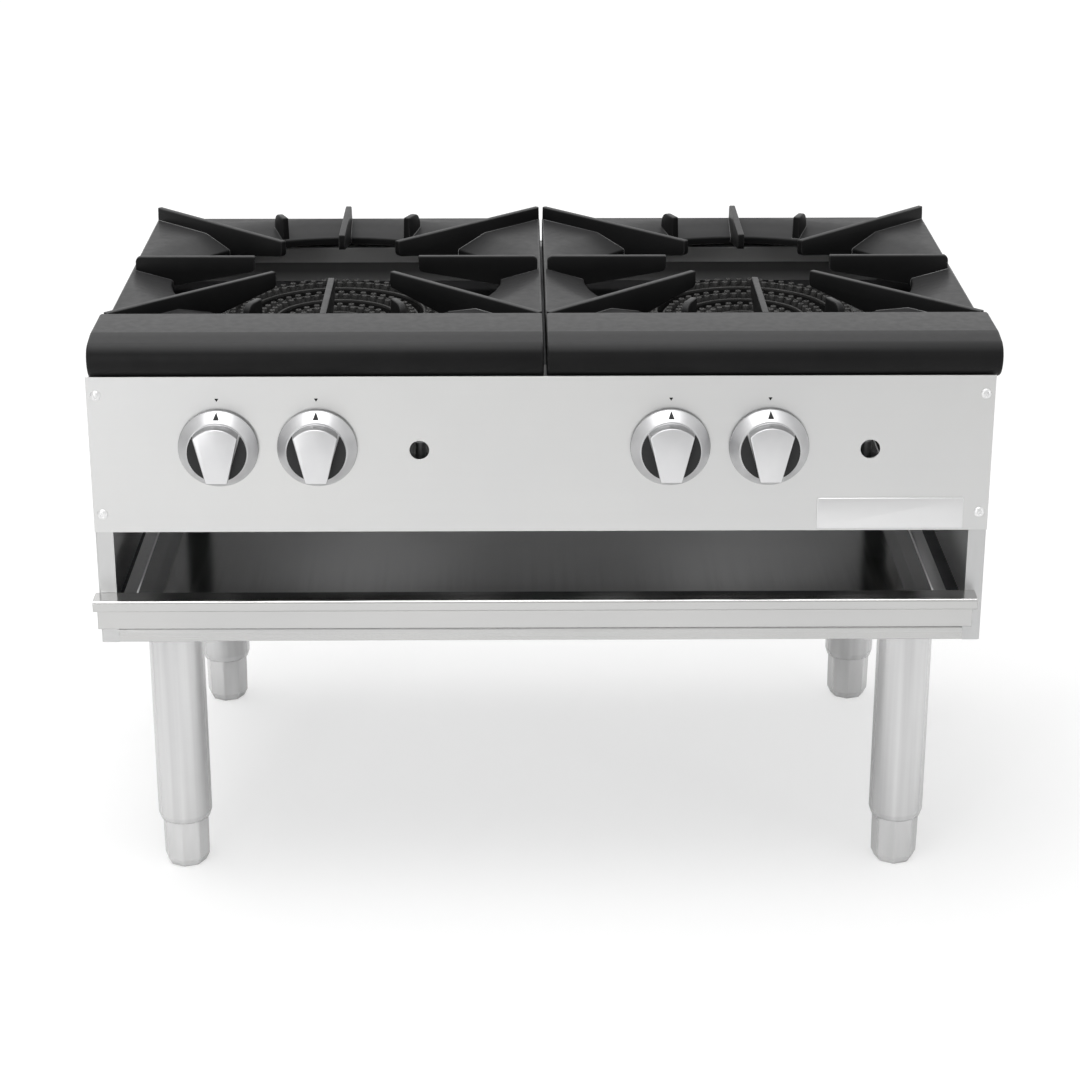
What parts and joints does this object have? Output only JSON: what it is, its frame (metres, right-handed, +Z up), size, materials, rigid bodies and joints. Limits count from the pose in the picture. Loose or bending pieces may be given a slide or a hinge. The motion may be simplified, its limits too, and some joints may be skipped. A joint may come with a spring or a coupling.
{
  "type": "stock pot range",
  "caption": "Floor-standing gas stock pot range with cast top grates, ring jet burners, chrome knobs, a pull-out drip tray and adjustable legs.",
  "frame": {"origin": "on the floor, under the middle of the body", "axes": "+X to the right, -Y to the front, +Z up"},
  "size_m": [0.923, 0.6355, 0.61],
  "materials": {
    "stainless": "satin",
    "panel_steel": "satin",
    "leg_steel": "polished",
    "black_casting": "matte",
    "burner_casting": "rough cast",
    "galvanised": "dull",
    "black_pipe": "satin",
    "knob_metal": "brushed",
    "knob_black": "matte",
    "valve_brass": "machined",
    "pilot_aluminium": "satin",
    "screw_steel": "polished",
    "plate_steel": "satin",
    "tray_steel": "reflective"
  },
  "bodies": {
    "body": {"side_panel_left": "stainless", "side_panel_right": "stainless", "back_panel": "galvanised", "front_panel": "panel_steel", "top_rail_front": "galvanised", "top_rail_rear": "galvanised", "centre_rail": "galvanised", "cross_rail_front": "stainless", "cross_rail_rear": "stainless", "tray_guide_left": "galvanised", "tray_guide_right": "galvanised", "burner_rail_front": "galvanised", "burner_rail_rear": "galvanised", "panel_screws": "screw_steel", "nameplate": "plate_steel", "manifold_pipe": "black_pipe", "manifold_brackets": "galvanised", "leg_gussets": "galvanised", "leg_front_left": "leg_steel", "leg_front_right": "leg_steel", "leg_rear_left": "leg_steel", "leg_rear_right": "leg_steel", "burner_left": "burner_casting", "pilot_left": "pilot_aluminium", "mixer_tube_left_outer": "burner_casting", "gas_valve_left_outer": "valve_brass", "mixer_tube_left_inner": "burner_casting", "gas_valve_left_inner": "valve_brass", "burner_right": "burner_casting", "pilot_right": "pilot_aluminium", "mixer_tube_right_outer": "burner_casting", "gas_valve_right_outer": "valve_brass", "mixer_tube_right_inner": "burner_casting", "gas_valve_right_inner": "valve_brass"},
    "drip_tray": {"tray_pan": "tray_steel", "tray_front": "stainless"},
    "grate_left": {"grate_left": "black_casting"},
    "grate_right": {"grate_right": "black_casting"},
    "knob_left_outer": {"knob_left_outer": "knob_metal", "knob_inserts_left_outer": "knob_black", "valve_stem_left_outer": "screw_steel"},
    "air_shutter_left_outer": {"air_shutter_left_outer": "galvanised"},
    "knob_left_inner": {"knob_left_inner": "knob_metal", "knob_inserts_left_inner": "knob_black", "valve_stem_left_inner": "screw_steel"},
    "air_shutter_left_inner": {"air_shutter_left_inner": "galvanised"},
    "knob_right_outer": {"knob_right_outer": "knob_metal", "knob_inserts_right_outer": "knob_black", "valve_stem_right_outer": "screw_steel"},
    "air_shutter_right_outer": {"air_shutter_right_outer": "galvanised"},
    "knob_right_inner": {"knob_right_inner": "knob_metal", "knob_inserts_right_inner": "knob_black", "valve_stem_right_inner": "screw_steel"},
    "air_shutter_right_inner": {"air_shutter_right_inner": "galvanised"},
    "foot_front_left": {"foot_front_left": "leg_steel"},
    "foot_front_right": {"foot_front_right": "leg_steel"},
    "foot_rear_left": {"foot_rear_left": "leg_steel"},
    "foot_rear_right": {"foot_rear_right": "leg_steel"}
  },
  "joints": [
    {"name": "knob_turn_left_outer", "type": "hinge", "parent": "body", "child": "knob_left_outer", "pos_m": [-0.3266, -0.28, 0.4985], "axis": [0, -1, 0], "range_deg": [0, 90]},
    {"name": "knob_turn_left_inner", "type": "hinge", "parent": "body", "child": "knob_left_inner", "pos_m": [-0.2266, -0.28, 0.4985], "axis": [0, -1, 0], "range_deg": [0, 90]},
    {"name": "knob_turn_right_outer", "type": "hinge", "parent": "body", "child": "knob_right_outer", "pos_m": [0.1306, -0.28, 0.4985], "axis": [0, -1, 0], "range_deg": [0, 90]},
    {"name": "knob_turn_right_inner", "type": "hinge", "parent": "body", "child": "knob_right_inner", "pos_m": [0.2306, -0.28, 0.4985], "axis": [0, -1, 0], "range_deg": [0, 90]},
    {"name": "tray_slide", "type": "slide", "parent": "body", "child": "drip_tray", "axis": [0, -1, 0], "range_m": [0, 0.4]},
    {"name": "grate_lift_left", "type": "slide", "parent": "body", "child": "grate_left", "axis": [0, 0, 1], "range_m": [0, 0.15]},
    {"name": "grate_lift_right", "type": "slide", "parent": "body", "child": "grate_right", "axis": [0, 0, 1], "range_m": [0, 0.15]},
    {"name": "shutter_turn_left_outer", "type": "hinge", "parent": "body", "child": "air_shutter_left_outer", "pos_m": [-0.3266, -0.215, 0.4985], "axis": [0, -1, 0], "range_deg": [0, 80]},
    {"name": "shutter_turn_left_inner", "type": "hinge", "parent": "body", "child": "air_shutter_left_inner", "pos_m": [-0.2266, -0.215, 0.4985], "axis": [0, -1, 0], "range_deg": [0, 80]},
    {"name": "shutter_turn_right_outer", "type": "hinge", "parent": "body", "child": "air_shutter_right_outer", "pos_m": [0.1306, -0.215, 0.4985], "axis": [0, -1, 0], "range_deg": [0, 80]},
    {"name": "shutter_turn_right_inner", "type": "hinge", "parent": "body", "child": "air_shutter_right_inner", "pos_m": [0.2306, -0.215, 0.4985], "axis": [0, -1, 0], "range_deg": [0, 80]},
    {"name": "foot_screw_front_left", "type": "slide", "parent": "body", "child": "foot_front_left", "axis": [0, 0, -1], "range_m": [-0.008, 0.025]},
    {"name": "foot_screw_front_right", "type": "slide", "parent": "body", "child": "foot_front_right", "axis": [0, 0, -1], "range_m": [-0.008, 0.025]},
    {"name": "foot_screw_rear_left", "type": "slide", "parent": "body", "child": "foot_rear_left", "axis": [0, 0, -1], "range_m": [-0.008, 0.025]},
    {"name": "foot_screw_rear_right", "type": "slide", "parent": "body", "child": "foot_rear_right", "axis": [0, 0, -1], "range_m": [-0.008, 0.025]}
  ]
}
